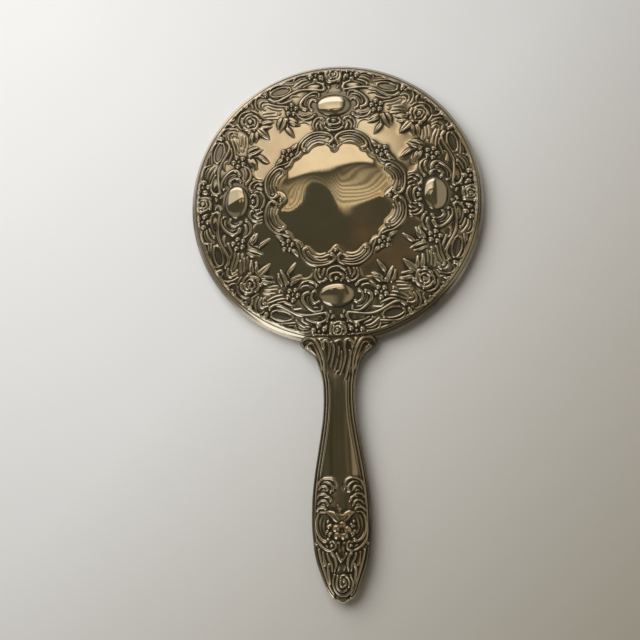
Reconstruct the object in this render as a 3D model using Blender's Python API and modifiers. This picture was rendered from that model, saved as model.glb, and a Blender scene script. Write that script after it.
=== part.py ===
"""Hand mirror with a stamped back and a two-part hollow handle, one named object per piece.

Metres, +Z up. The mirror lies glass down on the plane z = 0. The origin is on that plane, under
the middle of the whole mirror. The handle points towards -Y and the ornamented back faces +Z.
"""
import math

import bmesh
import bpy

# Driving dimensions
OVERALL_LENGTH = 0.237
HEAD_RADIUS = 0.065
SHEET = 0.0008            # thickness of the stamped sheet
GAP = 0.0003              # kept between pieces that touch
TURN_STEPS = 72

# The head, as radii and heights
SHELL_RADIUS = 0.0625     # edge of the stamped back
SHELL_EDGE_TOP = 0.0078
DOME_RISE = 0.0032
RIM_ARC_RADIUS = 0.0038   # outer curve of the rim's section
RIM_ARC_HEIGHT = 0.0043
RIM_WALL = 0.0009
RIM_LEDGE_INNER = 0.0606
RIM_LEDGE_LOW = 0.0057
RIM_LEDGE_HIGH = 0.0067
BEZEL_INNER = 0.0574
BEZEL_OUTER = 0.0635
BEZEL_THICKNESS = 0.0007
BEZEL_WALL_INNER = 0.0610
BEZEL_WALL_TOP = 0.0041
GLASS_RADIUS = 0.0604
GLASS_FRONT = 0.0005      # the glass sits back from the bezel's face
GLASS_THICKNESS = 0.0027
GLASS_BEVEL_WIDTH = 0.0110
GLASS_BEVEL_DEPTH = 0.0009
CARD_RADIUS = 0.0600
CARD_THICKNESS = 0.0006
FRAME_INNER = 0.0504
FRAME_OUTER = 0.0622
FRAME_THICKNESS = 0.0010
PAD_RADIUS = 0.0495

# The tang: distances are measured from the middle of the head towards the handle's end
TANG_START = 0.0525
TANG_END = 0.1200
TANG_THICKNESS = 0.0010
TANG_FOOT_HALF_WIDTH = 0.0050
TANG_HALF_WIDTH = 0.0034
TANG_FOOT_HEIGHT = 0.0062
TANG_RIVET_DISTANCE = 0.0570
TANG_RIVET_SPACING = 0.0056
RIVET_RADIUS = 0.0012
RIVET_TOP = 0.0069
NOTCH_HALF_WIDTH = 0.0056

# The handle: (distance from the middle of the head, value)
HANDLE_START = 0.0615
HANDLE_PARTING = 0.0046
FILLER_START = 0.0680
SECTION_SIDES = 20
SECTION_POWER = 2.4       # 2 would be an ellipse, more is squarer
HANDLE_HALF_WIDTHS = (
    (0.0615, 0.0145), (0.0640, 0.0168), (0.0665, 0.0148), (0.0695, 0.0112), (0.0730, 0.0092),
    (0.0770, 0.0080), (0.0820, 0.0071), (0.0880, 0.0069), (0.0950, 0.0072), (0.1030, 0.0082),
    (0.1120, 0.0097), (0.1220, 0.0113), (0.1320, 0.0123), (0.1400, 0.0125), (0.1480, 0.0120),
    (0.1550, 0.0108), (0.1610, 0.0088), (0.1660, 0.0068), (0.1690, 0.0050), (0.1708, 0.0031),
    (0.1720, 0.0010),
)
HANDLE_TOPS = (
    (0.0615, 0.0093), (0.0700, 0.0093), (0.0880, 0.0090), (0.1100, 0.0093), (0.1400, 0.0099),
    (0.1560, 0.0093), (0.1650, 0.0083), (0.1695, 0.0071), (0.1720, 0.0055),
)
HANDLE_BOTTOMS = (
    (0.0615, 0.0008), (0.0880, 0.0009), (0.1400, 0.0006), (0.1560, 0.0009), (0.1650, 0.0016),
    (0.1695, 0.0026), (0.1720, 0.0038),
)

# Worked out from the driving dimensions
HEAD_Y = OVERALL_LENGTH / 2 - HEAD_RADIUS
HANDLE_END = OVERALL_LENGTH - HEAD_RADIUS
RIM_ARC_CENTRE = HEAD_RADIUS - RIM_ARC_RADIUS
GLASS_BACK = GLASS_FRONT + GLASS_THICKNESS
CARD_BOTTOM = GLASS_BACK + GAP
CARD_TOP = CARD_BOTTOM + CARD_THICKNESS
FRAME_BOTTOM = BEZEL_WALL_TOP + GAP
FRAME_TOP = FRAME_BOTTOM + FRAME_THICKNESS


def clear_scene():
    for item in list(bpy.data.objects):
        bpy.data.objects.remove(item, do_unlink=True)


def new_collection(name):
    collection = bpy.data.collections.new(name)
    bpy.context.scene.collection.children.link(collection)
    return collection


def principled(name, colour, roughness, metallic):
    material = bpy.data.materials.new(name)
    material.use_nodes = True
    shader = material.node_tree.nodes["Principled BSDF"]
    shader.inputs["Base Color"].default_value = (*colour, 1.0)
    shader.inputs["Roughness"].default_value = roughness
    shader.inputs["Metallic"].default_value = metallic
    return material


def add_mesh(name, mesh, collection):
    item = bpy.data.objects.new(name, mesh)
    collection.objects.link(item)
    return item


def add_bmesh(name, shape, collection):
    mesh = bpy.data.meshes.new(name)
    shape.to_mesh(mesh)
    shape.free()
    return add_mesh(name, mesh, collection)


def finish_piece(item, material):
    item.data.materials.append(material)
    item.data.shade_smooth()
    item.data.set_sharp_from_angle(angle=math.radians(35))
    return item


def turned(name, profile, collection):
    """Turn a profile of (radius, height) points, its outer side first, about the head's axis."""
    on_axis = profile[0][0] == 0.0
    edges = [(i, i + 1) for i in range(len(profile) - 1)]
    if not on_axis:
        edges.append((len(profile) - 1, 0))
    mesh = bpy.data.meshes.new(name)
    mesh.from_pydata([(radius, 0.0, height) for radius, height in profile], edges, [])
    item = add_mesh(name, mesh, collection)
    item.location.y = HEAD_Y
    screw = item.modifiers.new("Turn", "SCREW")
    screw.axis = "Z"
    screw.angle = 2 * math.pi
    screw.steps = TURN_STEPS
    screw.render_steps = TURN_STEPS
    screw.use_merge_vertices = True
    screw.merge_threshold = 0.00001
    return item


def box(name, low, high, collection):
    shape = bmesh.new()
    bmesh.ops.create_cube(shape, size=1.0)
    for vertex in shape.verts:
        for axis in range(3):
            middle = (low[axis] + high[axis]) / 2
            vertex.co[axis] = middle + vertex.co[axis] * (high[axis] - low[axis])
    return add_bmesh(name, shape, collection)


def upright_cylinder(name, radius, x, distance, low, high, collection):
    shape = bmesh.new()
    bmesh.ops.create_cone(
        shape, cap_ends=True, segments=20, radius1=radius, radius2=radius, depth=high - low
    )
    item = add_bmesh(name, shape, collection)
    item.location = (x, HEAD_Y - distance, (low + high) / 2)
    return item


def cut(item, cutter):
    cutter.hide_render = True
    cutter.display_type = "WIRE"
    boolean = item.modifiers.new("Cut " + cutter.name, "BOOLEAN")
    boolean.operation = "DIFFERENCE"
    boolean.solver = "EXACT"
    boolean.object = cutter


def dome_height(radius):
    """Height of the back's outer surface, without its ornament."""
    return SHELL_EDGE_TOP + DOME_RISE * (1 - (radius / SHELL_RADIUS) ** 2)


def dome_points(lift, end_radius, count):
    return [
        (end_radius * i / count, dome_height(end_radius * i / count) + lift)
        for i in range(count + 1)
    ]


def rim_arc(radius, first_degrees, last_degrees, count):
    points = []
    for i in range(count + 1):
        angle = math.radians(first_degrees + (last_degrees - first_degrees) * i / count)
        points.append((
            RIM_ARC_CENTRE + radius * math.cos(angle),
            RIM_ARC_HEIGHT + radius * math.sin(angle),
        ))
    return points


def station_value(stations, distance):
    """Smooth value between hand-set stations (cubic, with its slopes kept from overshooting)."""
    if distance <= stations[0][0]:
        return stations[0][1]
    if distance >= stations[-1][0]:
        return stations[-1][1]
    last = len(stations) - 1
    slopes = [
        (stations[i + 1][1] - stations[i][1]) / (stations[i + 1][0] - stations[i][0])
        for i in range(last)
    ]
    index = next(i for i in range(last) if stations[i + 1][0] > distance)

    def slope_at(i):
        if i in (0, last):
            return slopes[min(i, last - 1)]
        before, after = slopes[i - 1], slopes[i]
        return 0.0 if before * after <= 0 else 2 * before * after / (before + after)

    start, end = stations[index], stations[index + 1]
    width = end[0] - start[0]
    t = (distance - start[0]) / width
    return (
        (1 + 2 * t) * (1 - t) ** 2 * start[1]
        + t * (1 - t) ** 2 * width * slope_at(index)
        + t * t * (3 - 2 * t) * end[1]
        + t * t * (t - 1) * width * slope_at(index + 1)
    )


def handle_rows(start):
    """Distances of the handle's sections: close together at the shoulder and at the tip."""
    rows = [start]
    while rows[-1] < HANDLE_END - 0.0002:
        distance = rows[-1]
        if distance < 0.0720:
            step = 0.0013
        elif distance < 0.1560:
            step = 0.0050
        else:
            step = max(0.0005, (HANDLE_END - distance) * 0.22)
        rows.append(distance + step)
    rows[-1] = HANDLE_END
    return rows


def handle_section(distance, inset):
    """One closed section of the handle, drawn in by inset; None where nothing is left of it."""
    half_width = station_value(HANDLE_HALF_WIDTHS, distance) - inset
    rise = station_value(HANDLE_TOPS, distance) - HANDLE_PARTING - inset
    drop = HANDLE_PARTING - station_value(HANDLE_BOTTOMS, distance) - inset
    if inset > 0 and min(half_width, rise, drop) < 0.0006:
        return None
    power = 2 / SECTION_POWER
    points = []
    for i in range(SECTION_SIDES):
        angle = 2 * math.pi * i / SECTION_SIDES
        across = math.copysign(abs(math.cos(angle)) ** power, math.cos(angle))
        up = math.copysign(abs(math.sin(angle)) ** power, math.sin(angle))
        height = HANDLE_PARTING + up * (rise if up > 0 else drop)
        points.append((half_width * across, HEAD_Y - distance, height))
    return points


def handle_body(name, start, inset, collection):
    """A closed loft through the handle's sections."""
    shape = bmesh.new()
    rings = []
    for distance in handle_rows(start):
        section = handle_section(distance, inset)
        if section:
            rings.append([shape.verts.new(point) for point in section])
    for near, far in zip(rings, rings[1:]):
        for i in range(SECTION_SIDES):
            j = (i + 1) % SECTION_SIDES
            shape.faces.new((near[i], near[j], far[j], far[i]))
    shape.faces.new(rings[0])
    shape.faces.new(rings[-1])
    bmesh.ops.recalc_face_normals(shape, faces=shape.faces)
    return add_bmesh(name, shape, collection)


def tang_strap(name, start, end, clearance, collection):
    """The strap's flat foot, its bend down to the handle's middle and its narrow end."""
    spots = (
        (start, TANG_FOOT_HALF_WIDTH, TANG_FOOT_HEIGHT),
        (0.0655, TANG_FOOT_HALF_WIDTH, TANG_FOOT_HEIGHT),
        (0.0670, 0.0046, 0.0060),
        (0.0720, TANG_HALF_WIDTH, 0.0050),
        (0.0740, TANG_HALF_WIDTH, HANDLE_PARTING),
        (end - 0.0020, TANG_HALF_WIDTH, HANDLE_PARTING),
        (end, TANG_HALF_WIDTH - 0.0012, HANDLE_PARTING),
    )
    half = TANG_THICKNESS / 2 + clearance
    shape = bmesh.new()
    rings = []
    for distance, half_width, height in spots:
        side = half_width + clearance
        corners = ((side, -half), (side, half), (-side, half), (-side, -half))
        rings.append([shape.verts.new((x, HEAD_Y - distance, height + z)) for x, z in corners])
    for near, far in zip(rings, rings[1:]):
        for i in range(4):
            shape.faces.new((near[i], near[(i + 1) % 4], far[(i + 1) % 4], far[i]))
    shape.faces.new(rings[0])
    shape.faces.new(rings[-1])
    bmesh.ops.recalc_face_normals(shape, faces=shape.faces)
    return add_bmesh(name, shape, collection)


def back_shell(parts):
    outer = dome_points(0.0, SHELL_RADIUS, 7)
    inner = dome_points(-SHEET, SHELL_RADIUS, 7)
    shell = turned("back_shell", outer + inner[::-1], parts)
    return finish_piece(shell, principled("back_silver", (0.66, 0.59, 0.46), 0.24, 1.0))


def rim_band(parts, cutters):
    lip = math.degrees(math.asin((SHELL_EDGE_TOP - RIM_ARC_HEIGHT - 0.00005) / RIM_ARC_RADIUS))
    inner_radius = RIM_ARC_RADIUS - RIM_WALL
    ledge = math.degrees(math.asin((RIM_LEDGE_LOW - RIM_ARC_HEIGHT) / inner_radius))
    profile = rim_arc(RIM_ARC_RADIUS, lip, 0, 5) + rim_arc(RIM_ARC_RADIUS, 0, -60, 4)[1:]
    profile += rim_arc(inner_radius, -60, ledge, 5)
    profile += [
        (RIM_LEDGE_INNER, RIM_LEDGE_LOW),
        (RIM_LEDGE_INNER, RIM_LEDGE_HIGH),
        (SHELL_RADIUS + GAP, RIM_LEDGE_HIGH),
    ]
    band = turned("rim_band", profile, parts)
    notch = box(
        "tang_notch",
        (-NOTCH_HALF_WIDTH, HEAD_Y - 0.0670, RIM_LEDGE_LOW - GAP),
        (NOTCH_HALF_WIDTH, HEAD_Y - 0.0550, 0.0090),
        cutters,
    )
    cut(band, notch)
    return finish_piece(band, principled("rim_silver", (0.72, 0.66, 0.54), 0.22, 1.0))


def front_bezel(parts):
    wall_outer = BEZEL_WALL_INNER + SHEET
    profile = [
        (wall_outer, BEZEL_WALL_TOP),
        (wall_outer, BEZEL_THICKNESS),
        (BEZEL_OUTER - 0.0003, BEZEL_THICKNESS),
        (BEZEL_OUTER, BEZEL_THICKNESS / 2),
        (BEZEL_OUTER - 0.0005, 0.0),
        (BEZEL_INNER + 0.0005, 0.0),
        (BEZEL_INNER, BEZEL_THICKNESS / 2),
        (BEZEL_INNER, BEZEL_THICKNESS),
        (BEZEL_WALL_INNER, BEZEL_THICKNESS),
        (BEZEL_WALL_INNER, BEZEL_WALL_TOP),
    ]
    bezel = turned("front_bezel", profile, parts)
    return finish_piece(bezel, principled("bezel_silver", (0.72, 0.66, 0.54), 0.22, 1.0))


def mirror_glass(parts):
    profile = [
        (0.0, GLASS_BACK),
        (GLASS_RADIUS, GLASS_BACK),
        (GLASS_RADIUS, GLASS_FRONT + GLASS_BEVEL_DEPTH),
        (GLASS_RADIUS - GLASS_BEVEL_WIDTH, GLASS_FRONT),
        (0.0, GLASS_FRONT),
    ]
    glass = turned("mirror_glass", profile, parts)
    return finish_piece(glass, principled("silvered_glass", (0.86, 0.88, 0.88), 0.03, 1.0))


def backing_card(parts):
    profile = [(0.0, CARD_TOP), (CARD_RADIUS, CARD_TOP), (CARD_RADIUS, CARD_BOTTOM), (0.0, CARD_BOTTOM)]
    card = turned("backing_card", profile, parts)
    return finish_piece(card, principled("grey_card", (0.42, 0.36, 0.28), 0.90, 0.0))


def felt_pad(parts):
    bottom = CARD_TOP + GAP
    profile = dome_points(-SHEET - GAP, PAD_RADIUS, 4) + [(PAD_RADIUS, bottom), (0.0, bottom)]
    pad = turned("felt_pad", profile, parts)
    return finish_piece(pad, principled("brown_felt", (0.30, 0.24, 0.19), 0.95, 0.0))


def rivet_places():
    return (("left", -TANG_RIVET_SPACING / 2), ("right", TANG_RIVET_SPACING / 2))


def frame_ring(parts, rivet_holes):
    profile = [
        (FRAME_OUTER, FRAME_TOP),
        (FRAME_OUTER, FRAME_BOTTOM),
        (FRAME_INNER, FRAME_BOTTOM),
        (FRAME_INNER, FRAME_TOP),
    ]
    ring = turned("frame_ring", profile, parts)
    for hole in rivet_holes:
        cut(ring, hole)
    return finish_piece(ring, principled("frame_brass", (0.58, 0.44, 0.20), 0.40, 1.0))


def tang(parts, rivet_holes):
    strap = tang_strap("tang", TANG_START, TANG_END, 0.0, parts)
    for hole in rivet_holes:
        cut(strap, hole)
    return finish_piece(strap, principled("tang_steel", (0.45, 0.45, 0.46), 0.45, 1.0))


def tang_rivets(parts):
    steel = principled("rivet_steel", (0.50, 0.50, 0.52), 0.35, 1.0)
    for side, x in rivet_places():
        rivet = upright_cylinder(
            "tang_rivet_" + side, RIVET_RADIUS, x, TANG_RIVET_DISTANCE, FRAME_BOTTOM, RIVET_TOP, parts
        )
        finish_piece(rivet, steel)


def head_envelope(cutters):
    """The head's outside with a gap all round: it trims the handle where the two meet."""
    profile = dome_points(GAP, SHELL_RADIUS, 4) + rim_arc(RIM_ARC_RADIUS + GAP, 65, -60, 9)
    profile += [
        (BEZEL_OUTER + GAP, BEZEL_THICKNESS - 0.0001),
        (BEZEL_OUTER + GAP, -0.0010),
        (0.0, -0.0010),
    ]
    return turned("head_envelope", profile, cutters)


def handle_half(name, keep_low, keep_high, envelope, cavity, parts, cutters):
    """One stamped half of the handle: the whole outside, less the other half and the hollow."""
    half = handle_body(name, HANDLE_START, 0.0, parts)
    far_side = 0.0300
    near_end = HEAD_Y - HANDLE_START + 0.0100
    far_end = HEAD_Y - HANDLE_END - 0.0100
    if keep_low > 0:
        low, high = -0.0100, keep_low
    else:
        low, high = keep_high, 0.0200
    other_half = box(name + "_trim", (-far_side, far_end, low), (far_side, near_end, high), cutters)
    cut(half, envelope)
    cut(half, other_half)
    cut(half, cavity)
    return finish_piece(half, principled(name + "_silver", (0.66, 0.59, 0.46), 0.24, 1.0))


def handle_filler(parts, cutters):
    filler = handle_body("handle_filler", FILLER_START, SHEET + GAP, parts)
    slot = tang_strap("tang_slot", TANG_START, TANG_END + GAP, GAP, cutters)
    cut(filler, slot)
    return finish_piece(filler, principled("filler_plaster", (0.72, 0.68, 0.60), 0.85, 0.0))


def main():
    clear_scene()
    parts = new_collection("hand_mirror")
    cutters = new_collection("cutters")
    rivet_holes = [
        upright_cylinder(
            "rivet_hole_" + side, RIVET_RADIUS + GAP, x, TANG_RIVET_DISTANCE, 0.0030, 0.0080, cutters
        )
        for side, x in rivet_places()
    ]
    back_shell(parts)
    rim_band(parts, cutters)
    front_bezel(parts)
    mirror_glass(parts)
    backing_card(parts)
    felt_pad(parts)
    frame_ring(parts, rivet_holes)
    tang(parts, rivet_holes)
    tang_rivets(parts)
    envelope = head_envelope(cutters)
    cavity = handle_body("handle_cavity", HANDLE_START - 0.0010, SHEET, cutters)
    handle_half("handle_back", HANDLE_PARTING + GAP / 2, 0.0, envelope, cavity, parts, cutters)
    handle_half("handle_front", 0.0, HANDLE_PARTING - GAP / 2, envelope, cavity, parts, cutters)
    handle_filler(parts, cutters)


main()
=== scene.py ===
import math

import bpy
import numpy as np
from mathutils import Euler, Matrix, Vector


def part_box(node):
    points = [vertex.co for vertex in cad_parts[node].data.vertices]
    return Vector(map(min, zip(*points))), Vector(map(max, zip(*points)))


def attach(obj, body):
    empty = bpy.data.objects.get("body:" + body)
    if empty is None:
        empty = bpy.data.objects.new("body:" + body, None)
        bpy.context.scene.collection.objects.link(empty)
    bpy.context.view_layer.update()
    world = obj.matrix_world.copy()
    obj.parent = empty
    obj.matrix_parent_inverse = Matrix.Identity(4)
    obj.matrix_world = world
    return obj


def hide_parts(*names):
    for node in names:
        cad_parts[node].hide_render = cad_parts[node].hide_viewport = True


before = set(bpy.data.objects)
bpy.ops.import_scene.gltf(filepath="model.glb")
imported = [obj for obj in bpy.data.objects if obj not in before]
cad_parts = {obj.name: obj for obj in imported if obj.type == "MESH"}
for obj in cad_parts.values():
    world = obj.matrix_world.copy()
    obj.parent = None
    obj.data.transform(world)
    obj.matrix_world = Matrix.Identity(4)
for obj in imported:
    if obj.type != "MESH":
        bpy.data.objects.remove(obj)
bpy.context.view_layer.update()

mm = 0.001
print("frame loaded:", len(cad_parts), "pieces")

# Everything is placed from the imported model. Ornament is drawn in millimetres from the head's middle,
# with +y away from the handle, and heights are above the plain sheet.
shellLow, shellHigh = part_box("back_shell")
rimLow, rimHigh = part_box("rim_band")
bezelLow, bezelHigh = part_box("front_bezel")
glassLow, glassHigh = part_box("mirror_glass")
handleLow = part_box("handle_back")[0]
headX = (rimLow[0] + rimHigh[0]) / 2
headY = (rimLow[1] + rimHigh[1]) / 2
headRadius = (rimHigh[0] - rimLow[0]) / 2 / mm
shellRadius = (shellHigh[0] - shellLow[0]) / 2 / mm
handleEnd = (headY - handleLow[1]) / mm


# drawing relief on a sheet of heights

reedSection = {
    "step": 0.2,         # distance between the bosses a reed is made of, against its width
    "spread": 1.08,      # the width it is cut to, against the width asked for
    "lift": 0.72,
    "roundness": 0.55,   # 0.5 is a full half round
}


def fade(value, start, length):
    # 0 up to start, 1 from length past it
    return np.clip((value - start) / length, 0, 1)


def newSheet(left, right, low, high, pitch):
    columns = int(round((right - left) / pitch)) + 1
    rows = int(round((high - low) / pitch)) + 1
    return {"left": left, "low": low, "pitch": pitch, "height": np.zeros((rows, columns))}


def throughPoints(points, spacing):
    # a smooth line through given points, with even steps along it
    if len(points) == 1:
        return np.array(points, float)
    spots = [np.array(p, float) for p in points]
    spots = [2 * spots[0] - spots[1]] + spots + [2 * spots[-1] - spots[-2]]
    line = []
    for a, b, c, d in zip(spots, spots[1:], spots[2:], spots[3:]):
        steps = max(2, int(np.hypot(*(c - b)) / spacing * 1.2))
        for t in np.arange(steps) / steps:
            line.append(0.5 * (2 * b + (c - a) * t + (2 * a - 5 * b + 4 * c - d) * t * t
                               + (3 * b - a - 3 * c + d) * t ** 3))
    line.append(spots[-2])
    return np.array(line)


def bump(sheet, x, y, rx, ry, height, turn=0.0, roundness=0.8):
    # a rounded oval boss; where bosses meet, the higher one wins
    reach = max(rx, ry)
    pitch = sheet["pitch"]
    heights = sheet["height"]
    c0 = max(0, int((x - reach - sheet["left"]) / pitch))
    c1 = min(heights.shape[1], int((x + reach - sheet["left"]) / pitch) + 2)
    r0 = max(0, int((y - reach - sheet["low"]) / pitch))
    r1 = min(heights.shape[0], int((y + reach - sheet["low"]) / pitch) + 2)
    if c0 >= c1 or r0 >= r1:
        return
    dx = sheet["left"] + np.arange(c0, c1) * pitch - x
    dy = (sheet["low"] + np.arange(r0, r1) * pitch - y)[:, None]
    across = (dx * math.cos(turn) + dy * math.sin(turn)) / rx
    along = (dy * math.cos(turn) - dx * math.sin(turn)) / ry
    dome = height * np.clip(1 - across ** 2 - along ** 2, 0, None) ** roundness
    heights[r0:r1, c0:c1] = np.maximum(heights[r0:r1, c0:c1], dome)


def ridge(sheet, points, width, height, ends=(0.55, 0.55)):
    # a reed of half-round section; ends say how thick it starts and finishes against its middle
    line = throughPoints(points, width * reedSection["step"])
    t = np.linspace(0, 1, len(line))
    swell = 1 - (1 - ends[0]) * (1 - t) ** 3 - (1 - ends[1]) * t ** 3
    for (x, y), s in zip(line, swell):
        radius = width * s * reedSection["spread"]
        crest = height * reedSection["lift"] * min(0.35 + 0.65 * s, 1.15)
        bump(sheet, x, y, radius, radius, crest, roundness=reedSection["roundness"])


def hollow(sheet, x, y, rx, ry, height, turn=0.0, lip=0.34):
    # a sunk oval with a raised lip all round and a barely raised floor
    loop = [(x + rx * math.cos(a) * math.cos(turn) - ry * math.sin(a) * math.sin(turn),
             y + rx * math.cos(a) * math.sin(turn) + ry * math.sin(a) * math.cos(turn))
            for a in np.linspace(0, 2 * math.pi, 17)]
    ridge(sheet, loop, lip, height, (1.0, 1.0))
    bump(sheet, x, y, rx * 0.8, ry * 0.45, height * 0.12, turn)


def leaf(sheet, points, width, height):
    # two lobes either side of a sunk vein, widest near the stem and both running out at the tip
    line = throughPoints(points, 0.12)
    t = np.linspace(0, 1, len(line))
    along = np.gradient(line, axis=0)
    along /= np.linalg.norm(along, axis=1)[:, None] + 1e-9
    half = width * np.sin(np.pi * np.clip(0.10 + 0.86 * t, 0, 1) ** 0.7) ** 0.9
    for side in (-0.47, 0.47):
        for (x, y), (ux, uy), w in zip(line, along, half):
            offset, lobe = side * w, w * 0.55 + 0.06
            bump(sheet, x - uy * offset, y + ux * offset, lobe, lobe, height * (0.45 + 0.55 * w / width))


def flower(sheet, x, y, radius, height, turn, plump=0.35):
    # open blossom: five cupped petals round a small eye
    petal, eye, reach = plump * radius, 0.2 * radius, 0.66 * radius
    for angle in turn + np.linspace(0, 2 * math.pi, 5, endpoint=False):
        bump(sheet, x + reach * math.cos(angle), y + reach * math.sin(angle), petal, petal, height, angle)
    bump(sheet, x, y, eye, eye, height * 0.8)


def rose(sheet, x, y, radius, height, turn=0.0):
    # a low dome, two rings of broad overlapping petal edges and a coiled heart
    bump(sheet, x, y, radius, radius, height * 0.45, roundness=0.6)
    rings = ((5, 0.86, 0.155), (3, 0.52, 0.135))    # petals, how far out and how broad
    for ring, (count, reach, width) in enumerate(rings):
        for i in range(count):
            start = turn + ring * 0.9 + 2 * math.pi * i / count
            turns = start + np.linspace(0, 2 * math.pi / count * 1.05, 6)
            reaches = radius * np.linspace(reach, reach - 0.17, 6)
            arc = [(x + r * math.cos(a), y + r * math.sin(a)) for r, a in zip(reaches, turns)]
            ridge(sheet, arc, width * radius, height * (0.95 + 0.25 * ring), (1.1, 0.45))
    heart = [(x + radius * (0.04 + 0.028 * k) * math.cos(turn + 1.0 * k),
              y + radius * (0.04 + 0.028 * k) * math.sin(turn + 1.0 * k)) for k in range(8)]
    ridge(sheet, heart, 0.10 * radius, height * 1.5, (1.0, 0.6))


def blurred(heights, reach):
    # rounded over by a bell curve that reaches this many steps of the sheet
    rows, columns = heights.shape
    pad = int(reach * 3) + 1
    wide = np.pad(heights, pad, mode="edge")
    fy = np.fft.fftfreq(wide.shape[0])[:, None]
    fx = np.fft.rfftfreq(wide.shape[1])[None, :]
    soft = np.exp(-2 * (np.pi * reach) ** 2 * (fx ** 2 + fy ** 2))
    result = np.fft.irfft2(np.fft.rfft2(wide) * soft, s=wide.shape)
    return result[pad:pad + rows, pad:pad + columns]


def sampled(sheet, grid, x, y):
    # the sheet's value at any place, straight-line between its points
    c = np.clip((x - sheet["left"]) / sheet["pitch"], 0, grid.shape[1] - 1.001)
    r = np.clip((y - sheet["low"]) / sheet["pitch"], 0, grid.shape[0] - 1.001)
    c0, r0 = c.astype(int), r.astype(int)
    fc, fr = c - c0, r - r0
    upper = grid[r0, c0] * (1 - fc) + grid[r0, c0 + 1] * fc
    lower = grid[r0 + 1, c0] * (1 - fc) + grid[r0 + 1, c0 + 1] * fc
    return upper * (1 - fr) + lower * fr


def rolling(x, y, seed, size, swells=14):
    # slow swells of a thin sheet that has been handled, about -1 to 1
    rng = np.random.default_rng(seed)
    total = np.zeros_like(x)
    for _ in range(swells):
        angle = rng.uniform(0, 2 * math.pi)
        wave = 2 * math.pi / (size * rng.uniform(0.7, 1.8))
        total += np.sin((x * math.cos(angle) + y * math.sin(angle)) * wave + rng.uniform(0, 6.28))
    return total / math.sqrt(swells)


# the stamped back: one eighth of the ornament is drawn, then mirrored and turned about the middle

backOrnament = {
    "pitch": 0.125,
    "cabochon": {"y": 43.8, "rx": 7.5, "ry": 5.0, "height": 0.95},
    "body": 0.20,           # how much the sheet swells under the crowded parts
    "softness": 0.12,       # rounding of every edge, as a die leaves it
    "drawn": 0.08,          # anything higher than this counts as ornament
    "borderStart": 60.0,    # the plain raised border outside the ornament
    "borderHeight": 0.35,
    "groove": {"inside": 0.7, "width": 0.45, "depth": 0.35},   # the line just inside the border
    "spreadFrom": 46.0,     # the ornament beyond this radius is spread towards the rim
    "spreadOver": 14.0,
    "outward": 1.3,
    "rise": 3.2,            # how far the dome falls from its middle to its edge
    "thickness": 0.8,
    "plainEdge": (1.1, 0.9),   # the relief starts to die out this far inside the edge, over this width
    "dent": 0.022,
    "dentSize": 22.0,
    "dentSeed": 5,
    "dentEdge": 8.0,
    "brightBorder": (60.9, 0.5, 0.85),   # the darkening is mostly taken off the plain border: from which radius, over what width, how much
    "rimSeamShade": (62.1, 0.4, 0.35),        # and painted shade gathers again in the seam beside the rim
    "meshPoints": 500,
}


def drawFrameScrolls(sheet):
    ridge(sheet, [(1.9, 25.8), (0.9, 26.8), (0.75, 28.0), (1.6, 29.3), (3.6, 30.4), (7.0, 30.9),
                  (10.4, 30.3), (13.4, 28.3), (15.6, 25.4), (16.3, 22.6), (17.3, 20.4)],
          0.50, 0.62, (1.5, 0.8))
    ridge(sheet, [(2.6, 29.0), (5.0, 29.6), (8.0, 29.6), (11.0, 28.5), (13.4, 26.4), (14.3, 24.6),
                  (14.0, 23.3), (12.9, 22.8)], 0.46, 0.55, (0.5, 1.7))
    ridge(sheet, [(3.9, 28.3), (6.4, 28.6), (8.8, 28.2), (11.0, 27.0), (12.6, 25.4), (13.0, 24.0)],
          0.36, 0.40)
    ridge(sheet, [(1.6, 26.1), (3.4, 26.3), (6.0, 27.2), (8.2, 27.1), (10.6, 26.1), (12.2, 24.4)],
          0.42, 0.48)
    ridge(sheet, [(4.6, 25.5), (7.0, 26.0), (9.4, 25.2), (11.2, 23.4), (12.0, 22.4)], 0.38, 0.34)
    bump(sheet, 0.0, 24.0, 1.05, 1.0, 0.9)
    ridge(sheet, [(0.0, 22.2), (0.9, 23.0), (2.0, 24.3), (3.3, 25.2)], 0.32, 0.32, (1.0, 0.6))


def drawFrameFlowers(sheet):
    leaf(sheet, [(18.9, 23.4), (17.6, 24.6), (16.4, 26.2)], 0.95, 0.65)
    ridge(sheet, [(14.9, 21.8), (15.9, 20.3), (17.4, 19.4), (18.6, 18.8)], 0.45, 0.5, (1.0, 0.7))


def drawCabochonSurround(sheet):
    cabochon = backOrnament["cabochon"]
    bump(sheet, 0.0, cabochon["y"], cabochon["rx"], cabochon["ry"], cabochon["height"], roundness=0.5)
    bump(sheet, 6.5, 49.2, 0.65, 1.0, 0.75)
    ridge(sheet, [(7.1, 50.3), (9.5, 50.3), (11.9, 49.0), (13.8, 47.2), (14.9, 45.3), (14.7, 43.9),
                  (13.7, 43.0), (12.5, 42.6)], 0.56, 0.80, (0.6, 1.6))
    ridge(sheet, [(8.3, 48.9), (10.4, 48.7), (12.3, 47.2), (13.0, 45.3), (12.4, 43.9)], 0.38, 0.42)
    ridge(sheet, [(9.3, 47.8), (10.9, 47.0), (11.9, 45.6), (12.0, 44.4)], 0.36, 0.40)
    ridge(sheet, [(7.8, 46.5), (9.0, 47.0), (10.3, 46.3), (11.0, 45.0), (11.1, 43.8), (10.6, 42.7),
                  (9.6, 42.1)], 0.46, 0.68, (1.3, 1.4))
    bump(sheet, 8.6, 39.5, 0.95, 0.85, 0.95)
    ridge(sheet, [(8.8, 39.3), (10.2, 38.1), (12.3, 37.5), (14.5, 38.0), (16.0, 39.3), (16.6, 40.6)],
          0.50, 0.65, (1.3, 0.6))
    ridge(sheet, [(10.9, 40.1), (12.6, 39.6), (14.2, 39.7), (15.6, 40.3)], 0.50, 0.62)
    ridge(sheet, [(10.2, 32.6), (10.5, 34.4), (11.6, 35.8), (13.4, 36.5), (15.4, 36.1), (16.6, 35.1)],
          0.30, 0.24)


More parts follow.
